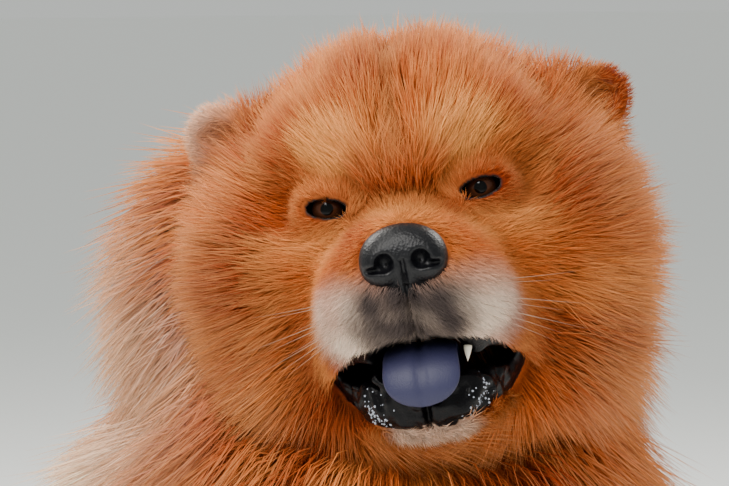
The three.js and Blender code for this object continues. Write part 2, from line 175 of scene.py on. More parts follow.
LEG_FORMS = (
    both(lambda s: [lump(BODY, (s * 78, -16, 318), (40, 52, 84), 40, 66, DOWN)])
    + both(lambda s: [limb(BODY, (s * 80, -8, 262), (s * 77, -42, 140), (38, 29), 17, 34, DOWN)])
    + both(lambda s: [limb(BODY, (s * 77, -42, 140), (s * 79, -64, 58), (29, 27), 10, 20, DOWN)])
    + both(
        lambda s: [limb(BODY, (s * 80, 12, 240), (s * 78, -24, 110), (22, 12), 26, 50, (0, 0.5, -1))]
    )
    + both(lambda s: [lump(BODY, (s * 102, 112, 128), (56, 92, 92), 46, 74, DOWN_BACK)])
    + both(lambda s: [lump(BODY, (s * 118, 48, 118), (46, 46, 66), 34, 56, DOWN)])
    + both(
        lambda s: [limb(BODY, (s * 126, 62, 86), (s * 118, 158, 48), (40, 32), 26, 48, DOWN_BACK)]
    )
    + both(lambda s: [limb(BODY, (s * 118, 158, 40), (s * 130, 40, 29), (28, 24), 11, 22, FORWARD)])
)
TAIL_LINE = [(0, 250, 165), (0, 300, 215), (2, 310, 275), (6, 288, 332), (10, 238, 364)]
TAIL_RADII = [30, 27, 24, 21, 15]
TAIL_FORMS = [
    limb(
        BODY,
        TAIL_LINE[i],
        TAIL_LINE[i + 1],
        (TAIL_RADII[i], TAIL_RADII[i + 1]),
        44 + i * 7,
        80,
        np.subtract(TAIL_LINE[i + 1], TAIL_LINE[i]),
    )
    for i in range(4)
]
FORMS = HEAD_FORMS + JAW_FORMS + NECK_FORMS + TRUNK_FORMS + LEG_FORMS + TAIL_FORMS

FRONT_PAW = (80, -84)
HIND_PAW = (132, 16)
PAWS = [(s * x, y) for x, y in (FRONT_PAW, HIND_PAW) for s in (1, -1)]
TOES = (-24, -8.5, 8.5, 24)


def toe_centre(x, y, across):
    return (x + across, y - 33 + abs(across) * 0.35, 15.5)


def paw_forms(x, y):
    toes = [lump(BODY, toe_centre(x, y, a), (11.5, 18, 14.5), 4, 8, FORWARD) for a in TOES]
    return [lump(BODY, (x, y, 23), (31, 42, 26), 5, 10, FORWARD)] + toes


PAW_FORMS = [form for x, y in PAWS for form in paw_forms(x, y)]


def distance_to(form, points):
    """How far points are outside one lump or limb."""
    p = local(form["frame"], points).astype(np.float32) - form["centre"].astype(np.float32)
    if form["run"] is not None:
        run = form["run"]
        t = np.clip(p @ run / (run @ run), 0, 1)
        radius = form["radii"][0] + (form["radii"][1] - form["radii"][0]) * t
        return np.linalg.norm(p - t[:, None] * run, axis=1) - radius
    scaled = p / form["radii"]
    reach = np.linalg.norm(scaled, axis=1)
    slope = np.linalg.norm(scaled / form["radii"], axis=1)
    return reach * (reach - 1) / np.maximum(slope, 1e-6)


def ellipsoid(frame_matrix, centre, radii, points):
    return distance_to(lump(frame_matrix, centre, radii, 0, 0, AWAY), points)


def soft_union(a, b, k):
    h = np.clip(0.5 + 0.5 * (b - a) / k, 0, 1)
    return b + (a - b) * h - k * h * (1 - h)


def soft_cut(a, b, k):
    """a with b taken out of it."""
    return -soft_union(-a, b, k)


def blended(forms, points, blend=BLEND):
    total = np.zeros(len(points), np.float32)
    for form in forms:
        total += np.exp(np.clip(-distance_to(form, points) / blend, -60, 40))
    return -blend * np.log(np.maximum(total, 1e-25))


# Ears, each a thick rounded leaf hollowed on its face.
EARS = {
    "left": ((89, 76, 29), math.radians(62), math.radians(18)),
    "right": ((-87, 76, 32), math.radians(-48), math.radians(-18)),
}


def ear_frame(root, lean, turn):
    tilt = Matrix.Rotation(turn, 4, "Z") @ Matrix.Rotation(lean, 4, "Y")
    return HEAD @ Matrix.Translation(root) @ tilt @ Matrix.Rotation(math.radians(8), 4, "X")


EAR_FRAMES = {name: ear_frame(*spec) for name, spec in EARS.items()}
MOUTH = ((0, 4, -90), (37, 52, 15))
MOUTH_CORNERS = ((0, -14, -88), (49, 34, 9))
MOUTH_ARCH = ((0, -46, -82), (24, 34, 15))
ALMOND = (11.0, 25.0, 4.9)


def with_ears(h, p):
    for matrix in EAR_FRAMES.values():
        h = soft_union(h, ellipsoid(matrix, (0, 0, 14), (21, 9, 28), p), 5)
        h = soft_cut(h, ellipsoid(matrix, (0, -12, 19), (14, 12, 19), p), 2.5)
    return h


def with_lids(h, p):
    """A swelling round each eye, opened by its almond and bedded on the eyeball."""
    for name, s in SIDES.items():
        lids = ellipsoid(HEAD, (s * (EYE_SPREAD + 0.5), 3.5, -0.5), (15.5, 11.5, 12.4), p)
        h = soft_union(h, lids, 12)
        h = soft_cut(h, from_lid_edge(name, p), 1.2)
        ball = np.linalg.norm(p - EYES[name], axis=1) - EYE_RADIUS - 0.25
        h = soft_cut(h, ball, 0.3)
    return h


def with_mouth(h, p):
    """The open mouth, and the uneven lips round it."""
    for centre, radii in (MOUTH, MOUTH_CORNERS, MOUTH_ARCH):
        h = soft_cut(h, ellipsoid(HEAD, centre, radii, p), 5)
    lips = in_ball(HEAD, (0, -18, -100), (60, 72, 30), p)
    return h + lips * (1.5 * waves(p, 13, 21) + 0.7 * waves(p, 7, 22))


def with_creases(h, p):
    """The crease down the forehead, and the split in the upper lip."""
    q = local(HEAD, p)
    across = np.abs(q[:, 0])
    brow = np.exp(-((q[:, 2] - 42) / 26) ** 2) * (q[:, 1] < 60)
    h = h + 5.0 * brow * np.exp(-((across / 6.5) ** 2))
    split = np.exp(-((across / 2.2) ** 2)) * (q[:, 1] < -40) * (q[:, 2] < -44)
    return h + 3.5 * split


def skin_distance(points):
    """How far points are outside the dog's skin."""
    d = blended(FORMS, points)
    near_floor = points[:, 2] < 80
    if near_floor.any():
        low = points[near_floor]
        d[near_floor] = soft_union(d[near_floor], blended(PAW_FORMS, low, 2.5), 7)
    near_head = np.linalg.norm(points - placed(HEAD, [0, 20, -20]), axis=1) < 230
    p = points[near_head]
    if len(p):
        h = with_lids(with_ears(d[near_head], p), p)
        d[near_head] = with_creases(with_mouth(h, p), p)
    return d


ALMONDS = {
    name: HEAD
    @ Matrix.Translation((s * EYE_SPREAD, EYE_CENTRE_Y, 0))
    @ Matrix.Rotation(math.radians(-9 * s), 4, "Y")
    for name, s in SIDES.items()
}


def graded(low, high, fine_low, fine_high, fine, coarse):
    """Grid lines, close together over one stretch."""
    parts = [
        np.arange(low, fine_low, coarse),
        np.arange(fine_low, fine_high, fine),
        np.arange(fine_high, high + coarse, coarse),
    ]
    return np.concatenate(parts)


BLOCK = 6


def grid_values(distance, grid):
    """The distance at each grid point: by block where the surface is far, and exactly near it."""
    shape = grid.shape[:3]
    first = [np.arange(0, n, BLOCK) for n in shape]
    last = [np.minimum(f + BLOCK, n - 1) for f, n in zip(first, shape)]
    low = grid[np.ix_(*first)]
    high = grid[np.ix_(*last)]
    middle = ((low + high) / 2).reshape(-1, 3)
    reach = np.linalg.norm(high - low, axis=-1).ravel() / 2
    rough = distance(middle)
    near = (np.abs(rough) < 1.7 * reach + 10).reshape(low.shape[:3])
    rough = rough.reshape(low.shape[:3])
    for axis, n in enumerate(shape):
        rough = np.repeat(rough, BLOCK, axis=axis).take(range(n), axis=axis)
        near = np.repeat(near, BLOCK, axis=axis).take(range(n), axis=axis)
    value = rough.astype(float)
    points = grid[near]
    chunk = 300000
    value[near] = np.concatenate(
        [distance(points[i : i + chunk]) for i in range(0, len(points), chunk)]
    )
    return value


def surface_of(distance, lines):
    """A closed quad mesh where the distance is nought, one corner to each grid cell that it crosses."""
    xs, ys, zs = lines
    grid = np.stack(np.meshgrid(xs, ys, zs, indexing="ij"), -1)
    value = grid_values(distance, grid)
    shape = value.shape
    inside = value < 0
    cells = tuple(n - 1 for n in shape)
    total = np.zeros(cells + (3,))
    count = np.zeros(cells)
    crossings = []
    for axis in range(3):
        first = [slice(None)] * 3
        second = [slice(None)] * 3
        first[axis] = slice(0, -1)
        second[axis] = slice(1, None)
        a, b = value[tuple(first)], value[tuple(second)]
        crossed = inside[tuple(first)] != inside[tuple(second)]
        at = np.argwhere(crossed)
        va, vb = a[crossed], b[crossed]
        t = (va / (va - vb))[:, None]
        point = grid[tuple(first)][crossed] * (1 - t) + grid[tuple(second)][crossed] * t
        u, v = (axis + 1) % 3, (axis + 2) % 3
        for du in (0, 1):
            for dv in (0, 1):
                cell = at.copy()
                cell[:, u] -= du
                cell[:, v] -= dv
                ok = ((cell >= 0) & (cell < np.array(cells))).all(1)
                c = cell[ok]
                np.add.at(total, (c[:, 0], c[:, 1], c[:, 2]), point[ok])
                np.add.at(count, (c[:, 0], c[:, 1], c[:, 2]), 1)
        crossings.append((axis, u, v, at, inside[tuple(first)][crossed]))
    used = count > 0
    index = np.full(cells, -1)
    index[used] = np.arange(used.sum())
    points = total[used] / count[used][:, None]
    quads = []
    for axis, u, v, at, starts_inside in crossings:
        ring = []
        for du, dv in ((0, 0), (1, 0), (1, 1), (0, 1)):
            cell = at.copy()
            cell[:, u] -= du
            cell[:, v] -= dv
            ring.append(index[cell[:, 0], cell[:, 1], cell[:, 2]])
        quad = np.stack(ring, 1)
        quad[~starts_inside] = quad[~starts_inside][:, ::-1]
        quads.append(quad)
    return points, np.concatenate(quads)


def slope_of(distance, points, step=0.4):
    """The direction straight out of a form, at points."""
    sides = [
        distance(points + step * axis) - distance(points - step * axis) for axis in np.eye(3)
    ]
    out = np.stack(sides, 1)
    return out / np.maximum(np.linalg.norm(out, axis=1), 1e-9)[:, None]


def settled(distance, points, rounds=2):
    """Points moved onto the form's surface."""
    for _ in range(rounds):
        d = distance(points)
        points = points - np.clip(d, -3, 3)[:, None] * slope_of(distance, points)
    return points


def smoothstep(x, low, high):
    t = np.clip((x - low) / (high - low), 0, 1)
    return t * t * (3 - 2 * t)


def in_crease(points):
    """1 along the crease down the middle of the forehead."""
    q = local(HEAD, points)
    return np.exp(-((q[:, 0] / 7) ** 2)) * smoothstep(q[:, 2], 8, 34) * (q[:, 1] < 70)


def coat_at(points):
    """The coat's depth, the hair's length and its lie at points."""
    weights = np.zeros(len(points))
    coat = np.zeros(len(points))
    hair = np.zeros(len(points))
    lie = np.zeros((len(points), 3))
    away = points - MUZZLE_ROOT
    away /= np.linalg.norm(away, axis=1)[:, None]
    for form in FORMS + PAW_FORMS:
        w = np.exp(np.clip(-distance_to(form, points) / BLEND, -60, 20))
        weights += w
        coat += w * form["coat"]
        hair += w * form["hair"]
        way = away if form["lie"] is None else np.array(form["lie"], float)
        way = way / np.linalg.norm(way, axis=-1, keepdims=True)
        lie += w[:, None] * way
    to_eye = np.min([np.linalg.norm(points - e, axis=1) for e in EYES.values()], axis=0)
    in_coat = smoothstep(to_eye, COAT_STARTS_FROM_EYE, COAT_FULL_FROM_EYE)
    in_hair = smoothstep(to_eye, HAIR_STARTS_FROM_EYE, HAIR_FULL_FROM_EYE)
    coat = (0.12 + 0.88 * in_coat) * coat / weights
    hair = (0.2 + 0.8 * in_hair) * hair / weights
    lie /= np.maximum(np.linalg.norm(lie, axis=1), 1e-9)[:, None]
    for eye in EYES.values():
        from_eye = points - eye
        reach = np.linalg.norm(from_eye, axis=1)
        lie = mix(lie, from_eye / np.maximum(reach, 1)[:, None], 0.7 * (1 - smoothstep(reach, 13, 34)))
    crease = in_crease(points)
    return coat * (1 - 0.5 * crease), hair * (1 - 0.4 * crease), lie


# Colours, linear.
def linear(*srgb):
    c = np.array(srgb) / 255
    return np.where(c <= 0.04045, c / 12.92, ((c + 0.055) / 1.055) ** 2.4)


RUST = linear(178, 80, 22)
DEEP_RUST = linear(140, 48, 8)
GOLD = linear(232, 156, 82)
CREAM = linear(252, 222, 194)
MUZZLE_PALE = linear(238, 212, 190)
MUZZLE_GREY = linear(74, 64, 62)
LIP_BLACK = linear(5, 4, 6)
LID_BLACK = linear(12, 9, 8)
EAR_PINK = linear(196, 140, 116)


def waves(points, scale, seed):
    """A smooth seeded pattern from -1 to 1."""
    rng = np.random.default_rng(seed)
    total = np.zeros(len(points))
    for _ in range(9):
        way = rng.normal(size=3)
        way /= np.linalg.norm(way) * scale
        total += np.sin(points @ way * 2 * math.pi + rng.uniform(0, 6.28))
    return total / 4.5


def mix(a, b, t):
    return a + (b - a) * np.clip(t, 0, 1)[:, None]


def in_ball(frame_matrix, centre, radii, points):
    """1 at the middle of an ellipsoid, falling softly to 0 at its edge."""
    q = (local(frame_matrix, points) - np.array(centre)) / np.array(radii)
    return 1 - smoothstep(np.linalg.norm(q, axis=1), 0.55, 1.0)


def from_lid_edge(name, points):
    """How far points are outside the almond opening of an eye's lids."""
    return ellipsoid(ALMONDS[name], (0, -6, 0), ALMOND, points)


def bare_mouth(points):
    """Whether points are in the mouth or on the black lips, where no hair grows."""
    lips = in_ball(HEAD, (0, -18, -93), (58, 70, 32), points)
    q = local(HEAD, points)
    arch = -61 - 0.0105 * q[:, 0] ** 2
    low = -120 + 2.5 * waves(points, 16, 9) + 0.006 * q[:, 0] ** 2
    return (lips > 0.02) & (q[:, 2] < arch) & (q[:, 2] > low)


def coat_colour(points):
    """The coat's colour at its roots' places, before each hair's own change."""
    colour = np.tile(RUST, (len(points), 1))
    colour = mix(colour, DEEP_RUST, 0.5 + 0.8 * waves(points, 70, 3))
    colour = mix(colour, GOLD, 0.25 * (waves(points, 34, 5) + 0.4))
    # Painted shade: the crease down the forehead is darkened towards a deeper rust.
    colour = mix(colour, DEEP_RUST * 0.55, in_crease(points))
    for s in (1, -1):
        # Painted highlight: the brow ridge above each eye is lightened towards gold.
        brow = in_ball(HEAD, (s * 30, 0, 26), (22, 45, 17), points)
        colour = mix(colour, GOLD, 0.75 * brow)
        below = in_ball(HEAD, (s * 42, 0, -20), (24, 40, 16), points)
        colour = mix(colour, GOLD, 0.3 * below)
    bridge = in_ball(HEAD, (0, -24, -16), (26, 50, 24), points)
    colour = mix(colour, GOLD, 0.35 * bridge)
    muzzle = in_ball(HEAD, (0, -40, -58), (62, 50, 36), points)
    colour = mix(colour, MUZZLE_PALE, muzzle * (1.1 + 0.3 * waves(points, 26, 6)))
    under_nose = in_ball(HEAD, (0, -62, -56), (38, 30, 31), points)
    colour = mix(colour, MUZZLE_GREY, under_nose * (0.95 + 0.16 * waves(points, 15, 8)))
    chin = in_ball(HEAD, (0, -40, -124), (34, 40, 14), points)
    colour = mix(colour, MUZZLE_PALE, 0.7 * chin)
    # Pale cream on the outer sides of the ruff: partly the coat's paler ruff, partly a painted rim
    # highlight.
    pale_ruff_and_rim_highlight = smoothstep(np.abs(points[:, 0]), 70, 120) * smoothstep(points[:, 2], 300, 400)
    pale_ruff_and_rim_highlight = pale_ruff_and_rim_highlight * smoothstep(points[:, 1], -40, 30) * (0.75 + 0.35 * waves(points, 60, 12))
    in_head = in_ball(HEAD, (0, 70, -10), (150, 130, 130), points)
    colour = mix(colour, CREAM, 1.05 * pale_ruff_and_rim_highlight * (1 - np.clip(1.6 * in_head, 0, 1)))
    breech = in_ball(BODY, (0, 260, 60), (150, 110, 120), points)
    colour = mix(colour, CREAM, 0.5 * breech)
    under_tail = in_ball(BODY, (6, 275, 330), (70, 90, 110), points)
    return mix(colour, CREAM, 0.55 * under_tail)


def skin_colour(points):
    # Painted shade: the skin under the hair takes the coat's colour, darkened.
    colour = coat_colour(points) * 0.62
    colour[bare_mouth(points)] = LIP_BLACK
    for name in SIDES:
        near = np.linalg.norm(points - EYES[name], axis=1) < 24
        edge = from_lid_edge(name, points)
        colour = mix(colour, LID_BLACK, near * (1 - smoothstep(edge, 1.0, 2.2)))
    q = local(HEAD, points)
    behind_nose = in_ball(HEAD, (0, -62, -34), (24, 20, 22), points)
    colour = mix(colour, LIP_BLACK, 3 * behind_nose * (q[:, 1] < -50))
    for matrix in EAR_FRAMES.values():
        cup = in_ball(matrix, (0, -8, 19), (13, 10, 18), points)
        colour = mix(colour, EAR_PINK, 0.9 * cup)
    return colour


# An unwrap of the skin: six charts, one for each way that it can face, side by side.
CHARTS = (3, 2)
CHART_SPAN = 740.0
CHART_MIDDLE = np.array([0.0, 60.0, 340.0])
PATCH = 0.003


def unwrap(points, outward):
    axis = np.argmax(np.abs(outward), axis=1)
    sign = outward[np.arange(len(axis)), axis] > 0
    chart = axis * 2 + sign
    u = points[np.arange(len(axis)), (axis + 1) % 3]
    v = points[np.arange(len(axis)), (axis + 2) % 3]
    u = (u - CHART_MIDDLE[(axis + 1) % 3]) / CHART_SPAN + 0.5
    v = (v - CHART_MIDDLE[(axis + 2) % 3]) / CHART_SPAN + 0.5
    column, row = chart % CHARTS[0], chart // CHARTS[0]
    across = (column + np.clip(u, 0, 1)) / CHARTS[0]
    along = (row + np.clip(v, 0, 1)) / CHARTS[1]
    return np.stack([across, along], 1)


# Materials.
def principled(name, colour, roughness, specular=0.5, coat=0.0):
    m = bpy.data.materials.new(name)
    m.use_nodes = True
    shader = m.node_tree.nodes["Principled BSDF"]
    shader.inputs["Base Color"].default_value = (*colour, 1)
    shader.inputs["Roughness"].default_value = roughness
    shader.inputs["Specular IOR Level"].default_value = specular
    shader.inputs["Coat Weight"].default_value = coat
    return m, shader


def painted(name, roughness, specular, bump_scale=None, bump=0.3, coat=0.0):
    """A finish that takes its colour from the mesh's own colours."""
    m, shader = principled(name, (0.5, 0.5, 0.5), roughness, specular, coat)
    tree = m.node_tree
    colours = tree.nodes.new("ShaderNodeVertexColor")
    colours.layer_name = "Col"
    tree.links.new(colours.outputs["Color"], shader.inputs["Base Color"])
    if bump_scale:
        add_bump(tree, shader, bump_scale, bump)
    return m


def add_bump(tree, shader, scale, strength, kind="ShaderNodeTexNoise"):
    place = tree.nodes.new("ShaderNodeTexCoord")
    pattern = tree.nodes.new(kind)
    pattern.inputs["Scale"].default_value = scale
    height = tree.nodes.new("ShaderNodeBump")
    height.inputs["Strength"].default_value = strength
    height.inputs["Distance"].default_value = 0.0006
    tree.links.new(place.outputs["Object"], pattern.inputs["Vector"])
    tree.links.new(pattern.outputs[0], height.inputs["Height"])
    tree.links.new(height.outputs["Normal"], shader.inputs["Normal"])


SKIN = painted("skin", 0.75, 0.12, 900, 0.5)


def wet_where_black(material):
    """Lips and lids, the black parts of the skin, shine."""
    tree = material.node_tree
    shader = tree.nodes["Principled BSDF"]
    grey = tree.nodes.new("ShaderNodeRGBToBW")
    shine = tree.nodes.new("ShaderNodeMapRange")
    shine.inputs["From Min"].default_value = 0.004
    shine.inputs["From Max"].default_value = 0.03
    shine.inputs["To Min"].default_value = 0.3
    shine.inputs["To Max"].default_value = 0.85
    tree.links.new(shader.inputs["Base Color"].links[0].from_socket, grey.inputs["Color"])
    tree.links.new(grey.outputs["Val"], shine.inputs["Value"])
    tree.links.new(shine.outputs["Result"], shader.inputs["Roughness"])


wet_where_black(SKIN)
HAIR = painted("hair", 0.8, 0.12)
NOSE_LEATHER, nose_shader = principled("nose_leather", linear(4, 4, 8), 0.42, 0.28)
add_bump(NOSE_LEATHER.node_tree, nose_shader, 700, 0.3, "ShaderNodeTexVoronoi")
TONGUE, tongue_shader = principled("tongue_wet", linear(40, 40, 68), 0.5, 0.35)
add_bump(TONGUE.node_tree, tongue_shader, 1200, 0.35)
TOOTH, _ = principled("tooth", linear(226, 216, 196), 0.3)
CLAW, _ = principled("claw", linear(70, 56, 46), 0.4)
FOAM, _ = principled("foam", linear(150, 154, 164), 0.2, 0.5)
WHISKER, _ = principled("whisker", linear(150, 120, 98), 0.6)


# Colours outwards from the pupil's middle, by their share of the eye's radius.
IRIS = (
    (0.28, (2, 2, 2)),
    (0.33, (62, 32, 17)),
    (0.66, (40, 20, 11)),
    (0.74, (9, 6, 6)),
)


def eye_material():
    """Dark brown round a black pupil, which lies on the eye's own -Y side."""
    m, shader = principled("eye_wet", linear(30, 16, 10), 0.05, 0.14, 0.0)
    tree = m.node_tree
    place = tree.nodes.new("ShaderNodeTexCoord")
    flat = tree.nodes.new("ShaderNodeVectorMath")
    flat.operation = "MULTIPLY"
    flat.inputs[1].default_value = (1, 0, 1)
    reach = tree.nodes.new("ShaderNodeVectorMath")
    reach.operation = "LENGTH"
    ramp = tree.nodes.new("ShaderNodeValToRGB")
    scale = tree.nodes.new("ShaderNodeMath")
    scale.operation = "MULTIPLY"
    scale.inputs[1].default_value = 1000 / EYE_RADIUS
    stops = ramp.color_ramp.elements
    stops[0].position = 0.0
    stops[0].color = (0.002, 0.002, 0.002, 1)
    stops[1].position = 1.0
    stops[1].color = (*linear(36, 22, 20), 1)
    for position, colour in IRIS:
        stop = stops.new(position)
        stop.color = (*linear(*colour), 1)
    tree.links.new(place.outputs["Object"], flat.inputs[0])
    tree.links.new(flat.outputs["Vector"], reach.inputs[0])
    tree.links.new(reach.outputs["Value"], scale.inputs[0])
    tree.links.new(scale.outputs["Value"], ramp.inputs["Fac"])
    tree.links.new(ramp.outputs["Color"], shader.inputs["Base Color"])
    return m


# Meshes.
def mesh_piece(name, points, faces, material, nodes=()):
    """A piece from numpy points in metres and faces, riding on the body."""
    data = bpy.data.meshes.new(name)
    sides = faces.shape[1]
    data.vertices.add(len(points))
    data.vertices.foreach_set("co", np.ascontiguousarray(points, np.float32).ravel())
    data.loops.add(faces.size)
    data.loops.foreach_set("vertex_index", np.ascontiguousarray(faces, np.int32).ravel())
    data.polygons.add(len(faces))
    data.polygons.foreach_set("loop_start", np.arange(0, faces.size, sides, dtype=np.int32))
    data.polygons.foreach_set("use_smooth", np.ones(len(faces), bool))
    data.update(calc_edges=True)
    data.materials.append(material)
    piece = bpy.data.objects.new(name, data)
    bpy.context.scene.collection.objects.link(piece)
    bpy.context.view_layer.update()
    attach(piece, "root")
    if nodes:
        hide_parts(*nodes)
    return piece


def colour_points(piece, colours):
    layer = piece.data.color_attributes.new("Col", "FLOAT_COLOR", "POINT")
    rgba = np.ones((len(colours), 4), np.float32)
    rgba[:, :3] = np.clip(colours, 0, 1)
    layer.data.foreach_set("color", rgba.ravel())


def bake_map(piece, corner_uv):
    layer = piece.data.uv_layers.new(name="OFBake")
    layer.data.foreach_set("uv", np.ascontiguousarray(corner_uv, np.float32).ravel())


FLESH_NODES = [
    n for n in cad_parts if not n.startswith("eye") and n not in ("nose", "tongue")
]


# The skin's grid is fine round the face and coarser elsewhere.
FINE_STEP = 1.35
COARSE_STEP = 5.5
GRID_SPANS = (
    (-215, 215, -118, 2),
    (-215, 395, -190, -96),
    (-6, 705, 462, 622),
)
LOWEST_SKIN = 0.6
LOWEST_HAIR = 1.5


def make_skin():
    lines = [graded(*span, FINE_STEP, COARSE_STEP) for span in GRID_SPANS]
    points, quads = surface_of(skin_distance, lines)
    points = settled(skin_distance, points)
    points[:, 2] = np.maximum(points[:, 2], LOWEST_SKIN)
    piece = mesh_piece("skin", metres(points), quads, SKIN, FLESH_NODES)
    colour_points(piece, skin_colour(points))
    normals = slope_of(skin_distance, points)
    centres = points[quads].mean(1)
    facing = normals[quads].mean(1)
    corner_uv = np.stack([unwrap(points[quads[:, k]], facing) for k in range(4)], 1)
    bake_map(piece, corner_uv)
    return points, quads, centres


# Fur.
HAIRS = 236000
HAIRS_PER_PIECE = 32500
RING = np.array([0, 2 * math.pi / 3, 4 * math.pi / 3])


def hair_density(centres):
    """Hairs for each square millimetre, before they are scaled to the whole number."""
    q = local(HEAD, centres)
    face = in_ball(HEAD, (0, 0, -20), (150, 130, 150), centres)
    muzzle = in_ball(HEAD, (0, -30, -60), (80, 70, 60), centres)
    ruff = in_ball(BODY, (-10, -60, 440), (240, 220, 240), centres)
    ahead = smoothstep(-q[:, 1], -120, 20)
    density = 0.12 + 0.7 * ruff + face * (0.3 + 0.5 * ahead) + 2.4 * muzzle
    low = (centres[:, 2] < 3) | bare_mouth(centres)
    density[low] = 0
    for name in SIDES:
        to_eye = np.linalg.norm(centres - EYES[name], axis=1)
        edge = from_lid_edge(name, centres)
        density = density + 3.0 * np.exp(-(((to_eye - 18) / 8) ** 2))
        density[(to_eye < 24) & (edge < 1.4)] = 0
    for matrix in EAR_FRAMES.values():
        density += 2.0 * in_ball(matrix, (0, 0, 15), (27, 16, 34), centres)
        density[in_ball(matrix, (0, -10, 19), (12, 9, 17), centres) > 0.1] = 0
    nose_room = np.linalg.norm((q - np.array([0, -60, -31])) / np.array([23, 18, 19]), axis=1)
    density[nose_room < 1] = 0
    return density


def scattered(points, quads, centres, rng):
    """Hair roots on the skin, and how far each is from its neighbours."""
    corner = points[quads]
    area = np.linalg.norm(
        np.cross(corner[:, 2] - corner[:, 0], corner[:, 3] - corner[:, 1]), axis=1
    ) / 2
    share = area * hair_density(centres)
    chosen = rng.choice(len(quads), HAIRS, p=share / share.sum())
    a, b = rng.random(HAIRS), rng.random(HAIRS)
    quad = corner[chosen]
    across = quad[:, 0] * (1 - a)[:, None] + quad[:, 1] * a[:, None]
    along = quad[:, 3] * (1 - a)[:, None] + quad[:, 2] * a[:, None]
    room = area[chosen] / share[chosen] * share.sum() / HAIRS
    return across * (1 - b)[:, None] + along * b[:, None], np.sqrt(room)


def unit(v):
    return v / np.maximum(np.linalg.norm(v, axis=1), 1e-9)[:, None]


def make_coat(points, quads, centres):
    rng = np.random.default_rng(7)
    roots, spacing = scattered(points, quads, centres, rng)
    out = slope_of(skin_distance, roots)
    coat, length, lie = coat_at(roots)
    ears = sum(in_ball(m, (0, 0, 18), (25, 14, 31), roots) for m in EAR_FRAMES.values())
    on_ear = np.clip(ears * 2, 0, 1)
    coat = coat * (1 - on_ear) + 3.5 * on_ear
    length = length * (1 - on_ear) + 7 * on_ear
    along = unit(lie - (lie * out).sum(1)[:, None] * out)
    number = len(roots)
    length = length * rng.uniform(0.72, 1.16, number)
    rise = np.clip(coat / np.maximum(length, 1) * rng.uniform(0.7, 1.15, number), 0.12, 0.92)
    flat = smoothstep(out[:, 2], 0.1, 0.8) * (1 - smoothstep(roots[:, 2], 480, 540))
    rise *= 1 - 0.55 * flat
    sway = rng.normal(0, 0.2, (number, 3))
    start = unit(along * np.sqrt(1 - np.minimum(1.25 * rise, 0.97) ** 2)[:, None]
                 + out * np.minimum(1.25 * rise, 0.97)[:, None] + sway * 0.6)
    finish = unit(along * np.sqrt(1 - (0.72 * rise) ** 2)[:, None]
                  + out * (0.72 * rise)[:, None] + sway)
    middle = roots + start * (0.42 * length)[:, None]
    tip = middle + finish * (0.58 * length)[:, None]
    tip[:, 2] -= 0.05 * length * smoothstep(length, 30, 90)
    pull_into_tufts(roots, middle, tip, length, rng)
    for p in (middle, tip):
        p[:, 2] = np.maximum(p[:, 2], LOWEST_HAIR)
    width = np.clip(0.28 + 0.0075 * length, 0.3, 0.95) * np.clip(spacing / 1.6, 0.85, 2.2)
    colours = hair_colours(roots, length, rng)
    order = np.lexsort((roots[:, 1], np.floor(roots[:, 2] / 60)))
    for k, first in enumerate(range(0, number, HAIRS_PER_PIECE)):
        part = order[first : first + HAIRS_PER_PIECE]
        hair_piece(
            f"coat_{k:02d}",
            roots[part] - out[part] * 0.8,
            middle[part],
            tip[part],
            out[part],
            width[part],
            [c[part] for c in colours],
            rng,
        )


def pull_into_tufts(roots, middle, tip, length, rng):
    """Neighbouring hairs lean to a common tip."""
    leaders = rng.choice(len(roots), len(roots) // 22, replace=False)
    tree = kdtree.KDTree(len(leaders))
    for i, leader in enumerate(leaders):
        tree.insert(roots[leader], i)
    tree.balance()
    nearest = np.array([tree.find(r)[1] for r in roots])
    leader = leaders[nearest]
    gap = np.linalg.norm(roots - roots[leader], axis=1)
    hold = 0.55 * np.exp(-((gap / (0.45 * length + 2)) ** 2)) * rng.uniform(0.4, 1.0, len(roots))
    hold *= smoothstep(length, 6, 25)
    tip += (tip[leader] - tip) * hold[:, None]
    middle += (middle[leader] - middle) * (0.25 * hold)[:, None]


def hair_colours(roots, length, rng):
    """Each hair's colour at its root, halfway and at its tip."""
    own = coat_colour(roots)
    value = np.exp(rng.normal(0, 0.16, len(roots)))[:, None]
    rusty = 1 - np.clip(2 * in_ball(HEAD, (0, -44, -62), (66, 52, 44), roots), 0, 1)
    pale = mix(own, GOLD, rusty * (0.3 + 0.25 * rng.random(len(roots))))
    long_hair = smoothstep(length, 14, 60)
    tip = mix(pale, CREAM, 0.02 + 0.16 * long_hair * rng.random(len(roots)))
    # Painted shade: the roots are darkened, more on longer hairs, as shade deep in the coat.
    root = own * (0.85 - 0.35 * long_hair)[:, None]
    return [root * value, own * value, tip * value]


